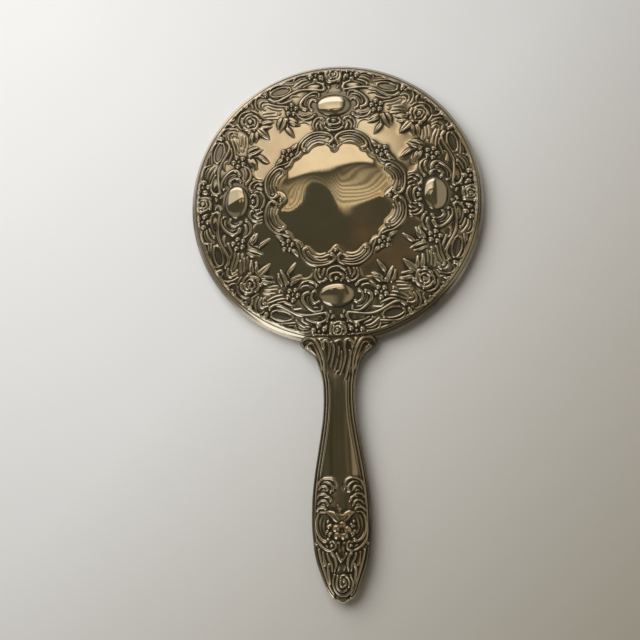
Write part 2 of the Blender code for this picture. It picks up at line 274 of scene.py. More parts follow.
def drawShell(sheet):
    # the fan of folds between the cabochon and the frame
    ridge(sheet, [(4.6, 36.9), (5.4, 37.8), (7.0, 38.0), (8.3, 37.2), (9.2, 35.7), (9.4, 34.0),
                  (8.8, 32.5)], 0.44, 0.60, (1.6, 0.8))
    ridge(sheet, [(6.9, 35.8), (7.6, 34.9), (7.9, 33.7), (7.5, 32.4)], 0.52, 0.72, (0.8, 0.8))
    ridge(sheet, [(6.1, 34.7), (5.8, 33.5), (5.2, 32.4)], 0.55, 0.72, (0.7, 0.9))
    ridge(sheet, [(2.1, 37.5), (2.9, 36.5), (2.7, 35.2), (1.5, 34.5), (0.0, 34.3)], 0.62, 0.82, (0.9, 1.0))
    ridge(sheet, [(3.8, 33.0), (2.2, 31.9), (0.0, 31.4)], 0.60, 0.76, (0.9, 1.0))
    ridge(sheet, [(2.6, 33.5), (1.4, 32.9), (0.0, 32.8)], 0.36, 0.42, (0.6, 1.0))
    bump(sheet, 0.0, 36.5, 1.1, 0.9, 0.6)
    ridge(sheet, [(3.9, 36.0), (4.3, 34.8), (4.0, 33.9)], 0.36, 0.42)


def drawRimFlowers(sheet):
    flower(sheet, 7.9, 58.3, 3.7, 1.0, -1.48)
    bump(sheet, 4.8, 56.5, 0.6, 1.0, 0.8)
    bump(sheet, 2.0, 52.6, 0.95, 0.65, 0.8, 0.5)
    bump(sheet, 4.3, 54.4, 0.5, 0.5, 0.6)
    bump(sheet, 2.9, 50.6, 0.55, 0.5, 0.6)
    ridge(sheet, [(1.2, 54.9), (2.7, 54.9), (3.4, 56.2)], 0.42, 0.55)
    ridge(sheet, [(11.3, 57.9), (13.0, 58.5), (15.4, 58.4), (17.2, 57.3), (18.0, 55.6)], 0.52, 0.65)
    ridge(sheet, [(11.8, 56.5), (14.0, 56.1), (15.8, 55.0), (17.6, 53.4)], 0.46, 0.55)
    ridge(sheet, [(12.2, 57.3), (14.6, 57.2), (16.6, 56.0)], 0.36, 0.42)
    ridge(sheet, [(11.2, 55.4), (13.6, 54.5), (15.6, 53.2)], 0.42, 0.5)
    bump(sheet, 14.9, 53.2, 0.65, 0.55, 0.6)


def drawRibbon(sheet):
    # the fluted ribbon that runs from its curled head by the cabochon to the lobe at the rim
    bump(sheet, 8.8, 52.9, 3.9, 1.35, 0.34, -0.05)
    ridge(sheet, [(4.0, 52.1), (4.9, 53.9), (7.0, 54.8), (9.4, 54.6), (11.6, 53.9), (13.4, 52.9)],
          0.46, 0.62, (1.4, 0.6))
    ridge(sheet, [(4.1, 52.4), (4.8, 51.2), (7.6, 51.4), (11.0, 51.7), (14.0, 51.7), (16.4, 51.2),
                  (19.0, 50.1), (21.2, 48.8), (24.0, 47.3), (26.3, 46.8), (27.6, 47.2), (28.7, 47.9)],
          0.48, 0.62, (1.2, 1.5))
    ridge(sheet, [(15.2, 48.9), (17.2, 49.2), (18.8, 49.0), (19.6, 48.0)], 0.40, 0.48)
    hollow(sheet, 23.7, 51.2, 4.7, 1.95, 0.62, -0.24)
    ridge(sheet, [(18.6, 55.6), (22.4, 55.3), (23.7, 54.9)], 0.36, 0.42)
    ridge(sheet, [(18.0, 54.4), (22.0, 54.5), (25.2, 54.3), (27.2, 53.5), (28.4, 52.2), (28.6, 50.9)],
          0.46, 0.60)
    ridge(sheet, [(19.2, 53.3), (21.0, 53.5)], 0.34, 0.38)
    ridge(sheet, [(18.6, 51.8), (20.6, 50.4), (23.4, 48.7), (26.6, 48.1)], 0.36, 0.45)
    ridge(sheet, [(18.6, 47.4), (20.6, 46.6), (23.0, 45.8), (25.4, 46.0)], 0.46, 0.52, (0.5, 1.1))
    ridge(sheet, [(22.2, 44.4), (25.4, 44.7), (27.6, 45.3), (29.8, 45.8)], 0.44, 0.50)
    ridge(sheet, [(23.6, 42.9), (26.8, 43.4), (29.8, 44.7)], 0.42, 0.48)
    bump(sheet, 24.6, 41.2, 0.9, 0.5, 0.6)


def drawRimHook(sheet):
    # the big hook that curls over at the rim between the ribbon and the corner rose
    ridge(sheet, [(30.3, 50.0), (31.0, 51.4), (32.6, 52.1), (34.3, 51.5), (35.9, 50.1), (36.7, 48.4),
                  (36.8, 47.0)], 1.02, 1.25, (0.9, 0.5))
    ridge(sheet, [(31.3, 48.9), (32.6, 49.7), (34.1, 49.2), (34.9, 47.8), (35.1, 45.9), (34.7, 44.2),
                  (33.8, 42.8)], 0.44, 0.52)
    ridge(sheet, [(29.6, 47.0), (31.6, 47.3), (33.0, 46.4), (33.3, 44.8), (32.5, 43.4)], 0.52, 0.62)
    ridge(sheet, [(30.4, 45.7), (31.7, 45.3), (31.8, 44.1), (30.6, 43.1)], 0.40, 0.5)
    ridge(sheet, [(26.6, 42.0), (29.2, 41.9), (31.8, 41.5)], 0.40, 0.45)
    ridge(sheet, [(25.8, 40.4), (28.4, 40.4), (31.2, 40.2)], 0.40, 0.45)
    ridge(sheet, [(25.4, 39.0), (27.8, 39.0), (30.2, 39.0)], 0.34, 0.38)


def drawCornerHooks(sheet):
    ridge(sheet, [(36.3, 43.8), (36.4, 45.2), (37.5, 46.7), (39.0, 47.4), (40.6, 46.9)],
          0.56, 0.70, (0.6, 1.1))
    ridge(sheet, [(38.4, 45.6), (39.0, 44.6), (40.0, 44.4)], 0.38, 0.48)
    ridge(sheet, [(40.8, 44.8), (41.9, 45.4), (43.4, 45.0), (44.6, 44.2)], 0.85, 1.05, (0.7, 1.1))
    ridge(sheet, [(40.0, 43.4), (41.4, 43.6), (42.6, 42.9)], 0.40, 0.48, (0.5, 1.0))
    ridge(sheet, [(37.6, 42.7), (39.6, 42.4), (41.3, 41.6)], 0.42, 0.50, (0.6, 1.0))
    ridge(sheet, [(33.8, 41.2), (35.2, 42.3), (36.9, 43.2)], 0.40, 0.46)
    bump(sheet, 32.9, 37.9, 0.95, 1.15, 0.95, 0.2)
    leaf(sheet, [(32.4, 36.6), (29.9, 37.3), (27.1, 37.4)], 1.0, 0.62)
    leaf(sheet, [(32.8, 34.7), (30.4, 35.0), (27.9, 35.3)], 0.85, 0.58)
    leaf(sheet, [(34.0, 34.0), (31.8, 31.8), (29.2, 29.2)], 1.6, 0.7)


def drawSpray(sheet):
    flower(sheet, 19.1, 42.9, 3.3, 0.85, 1.66)
    leaf(sheet, [(20.0, 38.6), (17.8, 37.4), (15.7, 36.1)], 0.85, 0.6)
    leaf(sheet, [(19.9, 36.9), (17.6, 35.6), (15.2, 34.9)], 0.8, 0.58)
    leaf(sheet, [(21.8, 38.8), (22.6, 35.8), (24.4, 32.2)], 0.95, 0.62)
    leaf(sheet, [(23.6, 38.9), (24.9, 36.7), (25.4, 33.7)], 0.8, 0.58)
    bump(sheet, 21.0, 38.0, 0.6, 1.0, 0.65)
    ridge(sheet, [(20.9, 37.2), (20.9, 35.4), (21.1, 33.8)], 0.34, 0.4)
    leaf(sheet, [(21.2, 33.9), (19.7, 31.9), (17.8, 29.3)], 0.95, 0.62)


def drawRoses(sheet):
    # these turn with the pattern but aren't mirrored
    rose(sheet, 0.0, 58.2, 4.1, 1.15, 0.4)
    rose(sheet, 37.4, 37.4, 4.5, 1.3, 1.1)
    flower(sheet, 21.1, 21.1, 3.1, 0.85, 0.80)


def drawBack():
    edge = shellRadius + 1
    pitch, start, groove = backOrnament["pitch"], backOrnament["borderStart"], backOrnament["groove"]
    paired = newSheet(-edge, edge, -edge, edge, pitch)
    turned = newSheet(-edge, edge, -edge, edge, pitch)
    for draw in (drawFrameScrolls, drawFrameFlowers, drawCabochonSurround, drawShell, drawRimFlowers,
                 drawRibbon, drawRimHook, drawCornerHooks, drawSpray):
        draw(paired)
    drawRoses(turned)
    half = np.maximum(paired["height"], paired["height"][:, ::-1])
    full = np.zeros_like(half)
    for quarter in range(4):
        full = np.maximum(full, np.rot90(half, quarter))
        full = np.maximum(full, np.rot90(turned["height"], quarter))
    across = np.linspace(-edge, edge, full.shape[1])
    radius = np.hypot(across[None, :], across[:, None])
    drawn = (full > backOrnament["drawn"]).astype(float)
    border = fade(radius, start - 0.4, 0.8)
    line = np.exp(-((radius - start + groove["inside"]) / groove["width"]) ** 2)
    line *= 1 - np.clip(blurred(drawn, 0.3 / pitch) * 1.6, 0, 1)
    full = full + backOrnament["body"] * blurred(drawn, 1.0 / pitch) * (1 - border)
    full = full + backOrnament["borderHeight"] * border - groove["depth"] * line
    return dict(paired, height=blurred(full, backOrnament["softness"] / pitch), groove=line)


# meshes

def meshPiece(name, points, faces, smooth=True):
    mesh = bpy.data.meshes.new(name)
    mesh.from_pydata(points.tolist() if isinstance(points, np.ndarray) else points, [],
                     faces.tolist() if isinstance(faces, np.ndarray) else faces)
    mesh.polygons.foreach_set("use_smooth", [smooth] * len(mesh.polygons))
    mesh.update()
    piece = bpy.data.objects.new(name, mesh)
    bpy.context.scene.collection.objects.link(piece)
    return piece


def gridFaces(rows, columns, closed=False):
    r = np.arange(rows - 1)[:, None]
    c = np.arange(columns if closed else columns - 1)[None, :]
    n = (c + 1) % columns
    corners = [r * columns + c, r * columns + n, (r + 1) * columns + n, (r + 1) * columns + c]
    return np.stack(corners, -1).reshape(-1, 4)


def borderRing(rows, columns):
    # the outermost points of a grid, in order round it
    r, c = np.arange(rows - 1), np.arange(columns - 1)
    return np.concatenate([c, r * columns + columns - 1, rows * columns - 1 - c, (rows - 1 - r) * columns])


def turnedPiece(name, profile, sharp, steps=288):
    # a closed profile of (radius, height) in millimetres, turned about the head's middle
    profile = np.array(profile, float) * mm
    rows = len(profile)
    angles = np.linspace(0, 2 * math.pi, steps, endpoint=False)
    points = np.stack([
        headX + profile[:, None, 0] * np.cos(angles),
        headY + profile[:, None, 0] * np.sin(angles),
        np.repeat(profile[:, None, 1], steps, 1),
    ], -1).reshape(-1, 3)
    first = np.arange(steps)
    after = (first + 1) % steps
    last = (rows - 1) * steps
    closing = np.stack([last + first, last + after, after, first], -1)
    piece = meshPiece(name, points, np.concatenate([gridFaces(rows, steps, closed=True), closing]))
    piece.data.set_sharp_from_angle(angle=math.radians(sharp))
    return piece


def arcPoints(centre, height, radius, first, last, count):
    angles = np.radians(np.linspace(first, last, count))
    return [(centre + radius * math.cos(a), height + radius * math.sin(a)) for a in angles]


def addRecess(piece, values):
    layer = piece.data.attributes.new("recess", "FLOAT", "POINT")
    layer.data.foreach_set("value", np.ascontiguousarray(values, dtype=np.float32))


# materials

def newFinish(name):
    material = bpy.data.materials.new(name)
    material.use_nodes = True
    nodes = material.node_tree.nodes
    return material, nodes, material.node_tree.links, nodes["Principled BSDF"]


def noiseNode(nodes, links, place, scale, detail=4.0, roughness=0.55, stretch=(1, 1, 1)):
    mapping = nodes.new("ShaderNodeMapping")
    mapping.inputs["Scale"].default_value = stretch
    links.new(place, mapping.inputs["Vector"])
    noise = nodes.new("ShaderNodeTexNoise")
    noise.inputs["Scale"].default_value = scale
    noise.inputs["Detail"].default_value = detail
    noise.inputs["Roughness"].default_value = roughness
    links.new(mapping.outputs[0], noise.inputs["Vector"])
    return noise.outputs["Fac"]


def spread(nodes, links, value, low, high, outLow=0.0, outHigh=1.0):
    node = nodes.new("ShaderNodeMapRange")
    node.inputs["From Min"].default_value = low
    node.inputs["From Max"].default_value = high
    node.inputs["To Min"].default_value = outLow
    node.inputs["To Max"].default_value = outHigh
    links.new(value, node.inputs["Value"])
    return node.outputs["Result"]


def combine(nodes, links, kind, a, b, clamp=False):
    node = nodes.new("ShaderNodeMath")
    node.operation = kind
    node.use_clamp = clamp
    for socket, value in zip(node.inputs, (a, b)):
        if isinstance(value, (int, float)):
            socket.default_value = value
        else:
            links.new(value, socket)
    return node.outputs[0]


def mixColour(nodes, links, factor, a, b):
    node = nodes.new("ShaderNodeMix")
    node.data_type = "RGBA"
    links.new(factor, node.inputs["Factor"])
    for socket, value in ((node.inputs[6], a), (node.inputs[7], b)):
        if isinstance(value, tuple):
            socket.default_value = (*value, 1.0)
        else:
            links.new(value, socket)
    return node.outputs[2]


silverFinish = {
    "bright": (0.86, 0.79, 0.66),
    "warm": (0.84, 0.71, 0.54),
    "dull": (0.60, 0.54, 0.42),
    "stain": (0.50, 0.37, 0.23),
    "tarnishAndShade": (0.034, 0.027, 0.014),
    "film": 0.22,                # the most that the dull film covers
    "stained": 0.65,             # and the brown stains on the handle
    "darkens": (0.08, 0.66),     # how deep a hollow is when the tarnish and painted shade start to darken it, and when it has
    "turnsMatt": (0.40, 0.95),
    "polish": 0.014,             # roughness of the clean metal
    "grimeAndShade": 0.40,               # how much rougher the thick darkening is
    "grimeMetal": 0.35,
    "patchScale": 38.0,          # the larger the scale, the finer the pattern
    "filmScale": 420.0,
    "scratchScale": 900.0,
    "scratchLength": (1.0, 0.05, 1.0),
    "stainLength": (1.0, 0.035, 1.0),
    "scratchDepth": 0.00004,
    "scratchStrength": 0.04,
}


def bumpFrom(nodes, links, shader, height, strength, depth):
    bumpNode = nodes.new("ShaderNodeBump")
    bumpNode.inputs["Strength"].default_value = strength
    bumpNode.inputs["Distance"].default_value = depth
    links.new(height, bumpNode.inputs["Height"])
    links.new(bumpNode.outputs[0], shader.inputs["Normal"])


def antiquedSilver(name, hasRecess=True, polish=silverFinish["polish"], streaked=False):
    silver = silverFinish
    material, nodes, links, shader = newFinish(name)
    place = nodes.new("ShaderNodeTexCoord").outputs["Object"]
    broad = noiseNode(nodes, links, place, silver["patchScale"], 5.0, 0.6)
    fine = noiseNode(nodes, links, place, silver["filmScale"], 4.0, 0.6)
    scratches = noiseNode(nodes, links, place, silver["scratchScale"], 2.0, 0.5, silver["scratchLength"])
    warmed = spread(nodes, links, broad, 0.42, 0.66)
    colour = mixColour(nodes, links, warmed, silver["bright"], silver["warm"])
    film = spread(nodes, links, fine, 0.5, 0.75, 0.0, silver["film"])
    colour = mixColour(nodes, links, film, colour, silver["dull"])
    if streaked:
        # long brown stains where a hand rubs it
        streaks = noiseNode(nodes, links, place, silver["filmScale"], 3.0, 0.6, silver["stainLength"])
        stain = spread(nodes, links, streaks, 0.46, 0.66, 0.0, silver["stained"])
        colour = mixColour(nodes, links, stain, colour, silver["stain"])
    rough = combine(nodes, links, "ADD", spread(nodes, links, fine, 0.3, 0.7, 0.0, 0.02), polish)
    if hasRecess:
        recess = nodes.new("ShaderNodeAttribute")
        recess.attribute_name = "recess"
        patchy = spread(nodes, links, broad, 0.3, 0.7, 0.75, 1.25)
        uneven = combine(nodes, links, "MULTIPLY", patchy, recess.outputs["Fac"])
        # the darkening, tarnish and painted shade together, comes first and only turns the surface matt
        # where it is thick
        dark = spread(nodes, links, uneven, *silver["darkens"])
        thick = spread(nodes, links, uneven, *silver["turnsMatt"])
        colour = mixColour(nodes, links, dark, colour, silver["tarnishAndShade"])
        matt = spread(nodes, links, thick, 0.0, 1.0, 0.0, silver["grimeAndShade"])
        rough = combine(nodes, links, "ADD", rough, matt)
        metal = spread(nodes, links, thick, 0.0, 1.0, 1.0, silver["grimeMetal"])
        links.new(metal, shader.inputs["Metallic"])
    else:
        shader.inputs["Metallic"].default_value = 1.0
    links.new(colour, shader.inputs["Base Color"])
    links.new(rough, shader.inputs["Roughness"])
    bumpFrom(nodes, links, shader, scratches, silver["scratchStrength"], silver["scratchDepth"])
    return material


# the back, and the tarnish and painted occlusion shade in its hollows

recessRule = {
    "ornament": 0.30,            # anything higher than this counts as ornament
    "near": 0.42,                # how far round a place is compared with it, for fine grooves
    "wide": 1.2,                 # and for broad hollows
    "crowd": 1.1,                # how far round the ornament has to be close, for the gaps in it
    "field": 2.8,                # and for the open ground around it
    "fine": (0.02, 0.10),        # the depth where the darkening starts, and over how much more it fills
    "fineDarkening": 0.8,
    "broad": (0.08, 0.24),
    "broadDarkening": 0.75,
    "gap": (0.36, 0.24),         # the share of ornament close by where a gap starts to darken
    "gapTop": 0.605,             # no gap is higher than this, and it is full this much lower
    "gapDepth": 0.55,
    "gapDarkening": 1.3,
    "ground": (0.33, 0.10),
    "groundTop": (0.16, 0.16),
    "groundDarkening": 0.48,
}


def recessFrom(heights, pitch):
    # how far each place lies below its surroundings, 0 on the crests and 1 in the deep grooves
    rule = recessRule
    near = blurred(heights, rule["near"] / pitch) - heights
    wide = blurred(heights, rule["wide"] / pitch) - heights
    ornament = (heights > rule["ornament"]).astype(float)
    crowd = blurred(ornament, rule["crowd"] / pitch)
    field = blurred(ornament, rule["field"] / pitch)
    # painted shade: the darkening in fine grooves, broad hollows, gaps and open ground stands both for
    # tarnish and for the shade that falls there
    depth = fade(near, *rule["fine"]) * rule["fineDarkening"] + fade(wide, *rule["broad"]) * rule["broadDarkening"]
    gaps = np.clip((rule["gapTop"] - heights) / rule["gapDepth"], 0, 1)
    gaps *= fade(crowd, *rule["gap"]) * rule["gapDarkening"]
    ground = 1 - fade(heights, *rule["groundTop"])
    ground *= fade(field, *rule["ground"]) * rule["groundDarkening"]
    return np.clip(np.maximum(np.maximum(depth, gaps), ground), 0, 1)


def discPlaces(count, radius):
    # an even grid drawn out into a disc, so that no quad pinches at the middle
    a, b = np.meshgrid(np.linspace(-1, 1, count), np.linspace(-1, 1, count))
    wideA = np.abs(a) > np.abs(b)
    safeA = np.where(np.abs(a) < 1e-12, 1e-12, a)
    safeB = np.where(np.abs(b) < 1e-12, 1e-12, b)
    reach = np.where(wideA, a, b)
    turn = np.where(wideA, math.pi / 4 * (b / safeA), math.pi / 2 - math.pi / 4 * (a / safeB))
    return radius * reach * np.cos(turn), radius * reach * np.sin(turn)


def buildBack():
    back = backOrnament
    sheet = drawBack()
    count = back["meshPoints"]
    x, y = discPlaces(count, shellRadius)
    r = np.hypot(x, y)
    inward = 1 - back["outward"] * fade(r, back["spreadFrom"], back["spreadOver"]) / np.maximum(r, 1)
    fromEdge, over = back["plainEdge"]
    kept = 1 - fade(r, shellRadius - fromEdge, over)
    relief = sampled(sheet, sheet["height"], x * inward, y * inward) * kept * kept * (3 - 2 * kept)
    domeTop = shellHigh[2] / mm
    dents = back["dent"] * rolling(x, y, back["dentSeed"], back["dentSize"])
    dents *= 1 - fade(r, shellRadius - back["dentEdge"], back["dentEdge"])
    z = domeTop - back["rise"] * (r / shellRadius) ** 2 + relief + dents
    # tarnish and painted shade in the hollows, and painted shadow in the groove just inside the border
    grimeAndShade = np.maximum(recessFrom(sheet["height"], sheet["pitch"]), sheet["groove"])
    recess = sampled(sheet, grimeAndShade, x * inward, y * inward)
    start, width, shadeCleared = back["brightBorder"]
    recess *= 1 - shadeCleared * fade(r, start, width)
    start, width, seam = back["rimSeamShade"]
    recess = np.maximum(recess, seam * fade(r, start, width))
    top = np.stack([headX + x * mm, headY + y * mm, z * mm], -1).reshape(-1, 3)
    # the sheet's edge and its plain inside, on rings that share the top's border
    border = borderRing(count, count)
    loops = [border]
    layers = [top]
    for share in (1.0, 0.66, 0.33, 0.05):
        ring = top[border].copy()
        ring[:, 0] = headX + (ring[:, 0] - headX) * share
        ring[:, 1] = headY + (ring[:, 1] - headY) * share
        ring[:, 2] = (domeTop - back["rise"] * share ** 2 - back["thickness"]) * mm
        loops.append(sum(len(layer) for layer in layers) + np.arange(len(border)))
        layers.append(ring)
    middle = [[headX, headY, (domeTop - back["thickness"]) * mm]]
    points = np.concatenate(layers + [np.array(middle)])
    under = [np.stack([o, i, np.roll(i, -1), np.roll(o, -1)], -1) for o, i in zip(loops, loops[1:])]
    faces = np.concatenate([gridFaces(count, count)] + under).tolist()
    faces += [(int(p), len(points) - 1, int(q)) for p, q in zip(loops[-1], np.roll(loops[-1], -1))]
    piece = meshPiece("stampedBack", points, faces)
    addRecess(piece, np.concatenate([recess.ravel(), np.zeros(len(points) - len(top))]))
    piece.data.materials.append(antiquedSilver("antiquedBackSilver"))
    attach(piece, "root")
    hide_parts("back_shell")


buildBack()
print("stamped back built")


# rim, bezel and glass

rimSection = {
    "arcRadius": 3.8,
    "arcHeight": 4.3,
    "wall": 0.9,
    "ledge": (60.6, 5.7, 6.7),      # the ring's flat inner lip: its radius, underside and top
    "gap": 0.3,                     # how far the lip reaches past the edge of the back
    "shadeFromHeight": 7.8,               # painted shade starts this high on the rounding and deepens downwards, towards the paper
    "shadeOver": 1.8,
    "mostShade": 0.52,
    "shadeCleared": ((-116, 15, 1.0), (132, 34, 0.85)),   # the painted shade is lifted round these bearings, where the rim looks bright: width and how much
    "polish": 0.12,
    "sharp": 35,
}


def buildRim():
    rim = rimSection
    centre = headRadius - rim["arcRadius"]
    inner, low, high = rim["ledge"]
    profile = arcPoints(centre, rim["arcHeight"], rim["arcRadius"], 64, -60, 26)
    profile += arcPoints(centre, rim["arcHeight"], rim["arcRadius"] - rim["wall"], -60, 28, 12)
    profile += [(inner, low), (inner, high), (shellRadius + rim["gap"], high)]
    piece = turnedPiece("roundedRim", profile[::-1], rim["sharp"])
    places = np.array([vertex.co for vertex in piece.data.vertices]) / mm
    bearing = np.degrees(np.arctan2(places[:, 1] - headY / mm, places[:, 0] - headX / mm))
    shadeLift = np.zeros(len(places))
    for towards, width, share in rim["shadeCleared"]:
        shadeLift = np.maximum(shadeLift, share * np.exp(-((bearing - towards) / width) ** 2))
    # painted shade: the rounding darkens low down, standing in for its contact shadow on the paper
    grimeAndShade = np.clip((rim["shadeFromHeight"] - places[:, 2]) / rim["shadeOver"], 0, rim["mostShade"])
    addRecess(piece, grimeAndShade * (1 - 0.95 * shadeLift))
    piece.data.materials.append(antiquedSilver("rimSilver", polish=rim["polish"]))
    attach(piece, "root")
    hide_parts("rim_band")


bezelSection = {
    "wall": 61.0,        # inner radius of the upright wall inside the rim
    "thickness": 0.8,
    "lip": 0.7,          # thickness of the flat lip over the glass
    "opening": 57.4,
    "edge": 0.35,        # rounding of the lip's two edges
    "polish": 0.18,
    "sharp": 35,
}


def buildBezel():
    bezel = bezelSection
    top = bezelHigh[2] / mm
    outer = (bezelHigh[0] - bezelLow[0]) / 2 / mm
    wall, lip, edge = bezel["wall"], bezel["lip"], bezel["edge"]
    outside = wall + bezel["thickness"]
    profile = [(outside, top), (outside, lip), (outer - 0.3, lip)]
    profile += arcPoints(outer - edge, edge, edge, 60, -90, 7)
    profile += arcPoints(bezel["opening"] + edge, edge, edge, -90, -180, 5)
    profile += [(bezel["opening"], lip), (wall, lip), (wall, top)]
    piece = turnedPiece("frontBezel", profile[::-1], bezel["sharp"])
    piece.data.materials.append(antiquedSilver("bezelSilver", hasRecess=False, polish=bezel["polish"]))
    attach(piece, "root")
    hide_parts("front_bezel")


mirrorGlass = {
    "bevelWidth": 11.0,
    "bevelDepth": 0.9,
    "silvering": (0.86, 0.88, 0.87),
    "spots": (0.30, 0.27, 0.22),     # where the silvering has gone
    "haze": (0.015, 0.05),
    "coat": 0.6,
    "coatRough": 0.02,
    "sharp": 2,
}


def mirrorFinish():
    material, nodes, links, shader = newFinish("silveredGlassFinish")
    place = nodes.new("ShaderNodeTexCoord").outputs["Object"]
    spots = spread(nodes, links, noiseNode(nodes, links, place, 160.0, 6.0, 0.7), 0.66, 0.74)
    haze = noiseNode(nodes, links, place, 30.0, 3.0, 0.5)
    colour = mixColour(nodes, links, spots, mirrorGlass["silvering"], mirrorGlass["spots"])
    links.new(colour, shader.inputs["Base Color"])
    links.new(spread(nodes, links, haze, 0.3, 0.8, *mirrorGlass["haze"]), shader.inputs["Roughness"])
    shader.inputs["Metallic"].default_value = 1.0
    shader.inputs["Coat Weight"].default_value = mirrorGlass["coat"]
    shader.inputs["Coat Roughness"].default_value = mirrorGlass["coatRough"]
    return material


def buildGlass():
    radius = (glassHigh[0] - glassLow[0]) / 2 / mm
    front, back = glassLow[2] / mm, glassHigh[2] / mm
    middle = 0.01
    profile = [(middle, back), (radius, back), (radius, front + mirrorGlass["bevelDepth"]),
               (radius - mirrorGlass["bevelWidth"], front), (middle, front)]
    piece = turnedPiece("bevelledGlass", profile[::-1], mirrorGlass["sharp"])
    piece.data.materials.append(mirrorFinish())
    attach(piece, "root")
    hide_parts("mirror_glass")


buildRim()
buildBezel()
buildGlass()
print("rim, bezel and glass built")


# the handle: both halves carry the same stamping

handleShape = {
    "parting": 4.6,          # height of the seam between the two halves
    "power": 2.4,            # 2 is an oval section, and more is squarer
    "start": 61.5,
    # each station is (distance from the head's middle, value)
    "halfWidths": [(61.5, 14.5), (64.0, 16.8), (66.5, 14.8), (69.5, 11.2), (73.0, 9.2), (77.0, 8.0),
                   (82.0, 7.1), (88.0, 6.9), (95.0, 7.2), (103.0, 8.2), (112.0, 9.7), (122.0, 11.3),
                   (132.0, 12.3), (140.0, 12.5), (148.0, 12.0), (155.0, 10.8), (161.0, 8.8), (166.0, 6.8),
                   (169.0, 5.0), (170.8, 3.1), (172.0, 1.0)],
    "tops": [(61.5, 9.3), (70.0, 9.3), (88.0, 9.0), (110.0, 9.3), (140.0, 9.9), (156.0, 9.3), (165.0, 8.3),
             (169.5, 7.1), (172.0, 5.5)],
    "bottoms": [(61.5, 1.1), (88.0, 1.1), (140.0, 0.9), (156.0, 1.2), (165.0, 1.9), (169.5, 2.8),
                (172.0, 3.8)],
    "thickness": 0.8,
    "reliefShare": 0.8,      # the stamping stands lower on the curved sheet than on the flat one
    "body": 0.25,            # how much the sheet swells under the crowded parts
    "softness": 0.11,
    "channelDepth": 0.16,    # the shallow channel down the plain middle
    "channelSide": 4.2,      # and the margin either side of it
    "channelStart": (78, 8),
    "channelEnd": (118, 6),
    "lapRadius": 3.95,       # how far over the rim's middle the shoulder stands
    "lapDarkening": (62.7, 0.7, 0.8),     # darker on the end over the head: how far, over what width, how much
    "sideShade": (0.66, 0.4, 0.7),    # and painted shade low down on both sides, by share of the height
    "across": 150,
    "along": 330,
}


def stationValues(stations, where):
    # a smooth curve through the stations that never overshoots them
    xs = np.array([s[0] for s in stations])
    ys = np.array([s[1] for s in stations])
    secants = np.diff(ys) / np.diff(xs)
    slopes = np.zeros(len(xs))
    slopes[0], slopes[-1] = secants[0], secants[-1]
    before, after = secants[:-1], secants[1:]
    same = before * after > 0
    slopes[1:-1][same] = 2 * before[same] * after[same] / (before[same] + after[same])
    where = np.clip(where, xs[0], xs[-1])
    i = np.clip(np.searchsorted(xs, where, side="right") - 1, 0, len(xs) - 2)
    width = xs[i + 1] - xs[i]
    t = (where - xs[i]) / width
    return ((1 + 2 * t) * (1 - t) ** 2 * ys[i] + t * (1 - t) ** 2 * width * slopes[i]
            + t * t * (3 - 2 * t) * ys[i + 1] + t * t * (t - 1) * width * slopes[i + 1])


def edgeLine(first, last, inset, count=14):
    # a line that follows the handle's outline, set in from it
    distances = np.linspace(first, last, count)
    widths = stationValues(handleShape["halfWidths"], distances)
    return [(w - inset, -d) for w, d in zip(widths, distances)]


def drawHandleEdges(sheet):
    ridge(sheet, edgeLine(65.0, 148.0, 0.65, 26), 0.46, 0.72)
    ridge(sheet, edgeLine(66.0, 148.6, 1.90, 26), 0.42, 0.64)
    ridge(sheet, edgeLine(68.0, 136.0, 3.05, 22), 0.36, 0.46, (0.5, 0.5))


def drawShoulder(sheet):
    # bold curled corners with reeds that run down into the neck
    ridge(sheet, [(15.6, -65.8), (15.4, -63.8), (13.8, -62.4), (11.0, -62.7), (9.0, -64.8), (7.4, -68.0),
                  (6.2, -72.0), (5.6, -78.0)], 0.66, 0.90, (0.9, 0.4))
    ridge(sheet, [(13.4, -65.4), (12.0, -64.5), (10.5, -65.3), (9.1, -67.8), (7.7, -71.2), (6.9, -76.0)],
          0.50, 0.66)
    ridge(sheet, [(13.9, -66.4), (12.3, -66.9), (10.6, -68.8), (9.0, -72.0), (8.0, -76.0)],
          0.56, 0.75, (1.3, 0.5))
    bump(sheet, 13.3, -66.1, 0.9, 0.8, 0.95)
    ridge(sheet, [(7.9, -63.2), (6.7, -66.0), (5.5, -69.6), (4.9, -74.0), (4.4, -79.0)],
          0.42, 0.50, (1.1, 0.4))


def drawNeckLeaf(sheet):
    # a tuft of curling flutes, all leaning one way
    ridge(sheet, [(-6.3, -66.8), (-6.4, -64.8), (-5.2, -63.6), (-4.0, -64.6), (-3.5, -67.2),
                  (-3.9, -70.4), (-4.6, -73.0)], 0.56, 0.95, (1.3, 0.4))
    ridge(sheet, [(-2.7, -64.6), (-1.9, -67.2), (-2.1, -70.4), (-3.2, -75.0)], 0.52, 0.90, (1.2, 0.4))
    ridge(sheet, [(-0.7, -64.4), (0.0, -67.4), (-0.3, -71.4), (-1.5, -76.4)], 0.56, 0.95, (1.3, 0.5))
    ridge(sheet, [(1.5, -68.6), (1.3, -72.4), (0.2, -76.6), (-0.9, -77.8)], 0.50, 0.85, (0.6, 0.9))
    ridge(sheet, [(6.3, -66.6), (6.0, -64.4), (4.5, -63.4), (3.0, -64.4), (2.7, -66.6), (3.1, -69.6),
                  (2.5, -73.6), (1.0, -78.2)], 0.56, 0.98, (1.3, 0.6))
    ridge(sheet, [(4.9, -68.4), (4.8, -72.0), (3.9, -76.0), (2.7, -80.6)], 0.60, 1.0, (0.7, 0.5))


